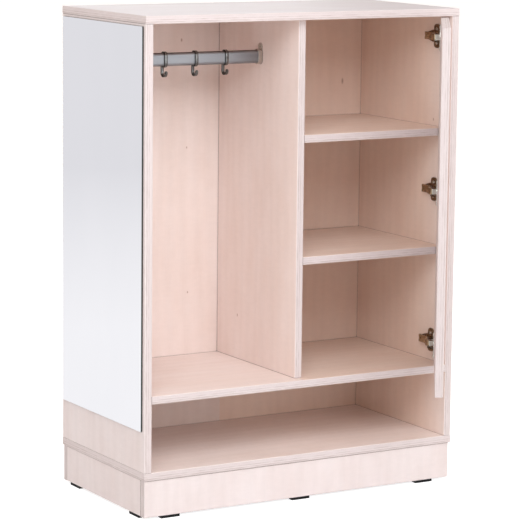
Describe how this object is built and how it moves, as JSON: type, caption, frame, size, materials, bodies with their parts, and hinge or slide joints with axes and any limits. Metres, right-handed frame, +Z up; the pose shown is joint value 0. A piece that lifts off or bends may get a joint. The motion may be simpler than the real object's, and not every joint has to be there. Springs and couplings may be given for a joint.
{
  "type": "children's wardrobe with mirror",
  "caption": "Open-fronted children's wardrobe of pale plywood with a mirror on one side, a rail with sliding hooks, shelves behind a hinged door, a shoe bay and a plinth.",
  "frame": {"origin": "on the floor under the middle of the cabinet, at half its width and half the depth of its boards", "axes": "+Z up, -Y the open front, +X to the right as seen from the front, so the mirror is on the -X side"},
  "size_m": [0.804, 0.7077, 1.092],
  "materials": {
    "birch_ply": "whitewashed birch veneer, matt lacquer",
    "plinth_ply": "whitewashed birch veneer, matt lacquer",
    "back_ply": "whitewashed birch veneer, matt lacquer",
    "mirror": "silvered float glass with polished edges",
    "foam_tape": "closed-cell foam",
    "raw_wood": "unfinished beech",
    "glide_pad": "black rubber",
    "rail_metal": "satin anodised",
    "fitting_metal": "nickel plated",
    "hook_metal": "nickel plated",
    "hinge_metal": "nickel plated"
  },
  "bodies": {
    "carcass": {"top_board": "birch_ply", "bottom_board": "birch_ply", "left_side_panel": "birch_ply", "right_side_panel": "birch_ply", "middle_shelf": "birch_ply", "divider": "birch_ply", "upper_shelf": "birch_ply", "lower_shelf": "birch_ply", "back_panel": "back_ply", "mirror_glass": "mirror", "mirror_tape": "foam_tape", "plinth_front": "plinth_ply", "plinth_back": "plinth_ply", "plinth_left": "plinth_ply", "plinth_right": "plinth_ply", "corner_blocks": "raw_wood", "glide_pads": "glide_pad", "hanging_rail": "rail_metal", "rail_socket_left": "fitting_metal", "rail_socket_right": "fitting_metal", "rail_socket_screws": "fitting_metal", "hinge_plate_screws": "fitting_metal", "board_dowels": "raw_wood", "hinge_plate_top": "hinge_metal", "hinge_arm_top": "hinge_metal", "hinge_plate_middle": "hinge_metal", "hinge_arm_middle": "hinge_metal", "hinge_plate_bottom": "hinge_metal", "hinge_arm_bottom": "hinge_metal"},
    "door": {"door_panel": "birch_ply", "hinge_cup_top": "hinge_metal", "hinge_cup_middle": "hinge_metal", "hinge_cup_bottom": "hinge_metal", "hinge_pins": "fitting_metal", "hinge_cup_screws": "fitting_metal"},
    "outer_links": {"outer_link_top": "hinge_metal", "outer_link_middle": "hinge_metal", "outer_link_bottom": "hinge_metal"},
    "inner_links": {"inner_link_top": "hinge_metal", "inner_link_middle": "hinge_metal", "inner_link_bottom": "hinge_metal"},
    "hook_left": {"hook_left": "hook_metal"},
    "hook_middle": {"hook_middle": "hook_metal"},
    "hook_right": {"hook_right": "hook_metal"}
  },
  "joints": [
    {"name": "door_swing", "type": "hinge", "parent": "carcass", "child": "door", "pos_m": [0.3712, -0.19079, 0.674], "axis": [0, 0, 1], "range_deg": [-56, 39]},
    {"name": "outer_link_turn", "type": "hinge", "parent": "door", "child": "outer_links", "pos_m": [0.35875, -0.19711, 0.674], "axis": [0, 0, 1], "range_deg": [-23.4, 33.6]},
    {"name": "inner_link_turn", "type": "hinge", "parent": "door", "child": "inner_links", "pos_m": [0.35469, -0.20402, 0.674], "axis": [0, 0, 1], "range_deg": [-23.4, 33.6]},
    {"name": "hook_left_slide", "type": "slide", "parent": "carcass", "child": "hook_left", "axis": [1, 0, 0], "range_m": [-0.105, 0.033]},
    {"name": "hook_middle_slide", "type": "slide", "parent": "carcass", "child": "hook_middle", "axis": [1, 0, 0], "range_m": [-0.033, 0.033]},
    {"name": "hook_right_slide", "type": "slide", "parent": "carcass", "child": "hook_right", "axis": [1, 0, 0], "range_m": [-0.033, 0.073]}
  ],
  "couplings": [
    {"joint": "outer_link_turn", "follows": "door_swing", "ratio": -0.6},
    {"joint": "inner_link_turn", "follows": "door_swing", "ratio": -0.6}
  ]
}
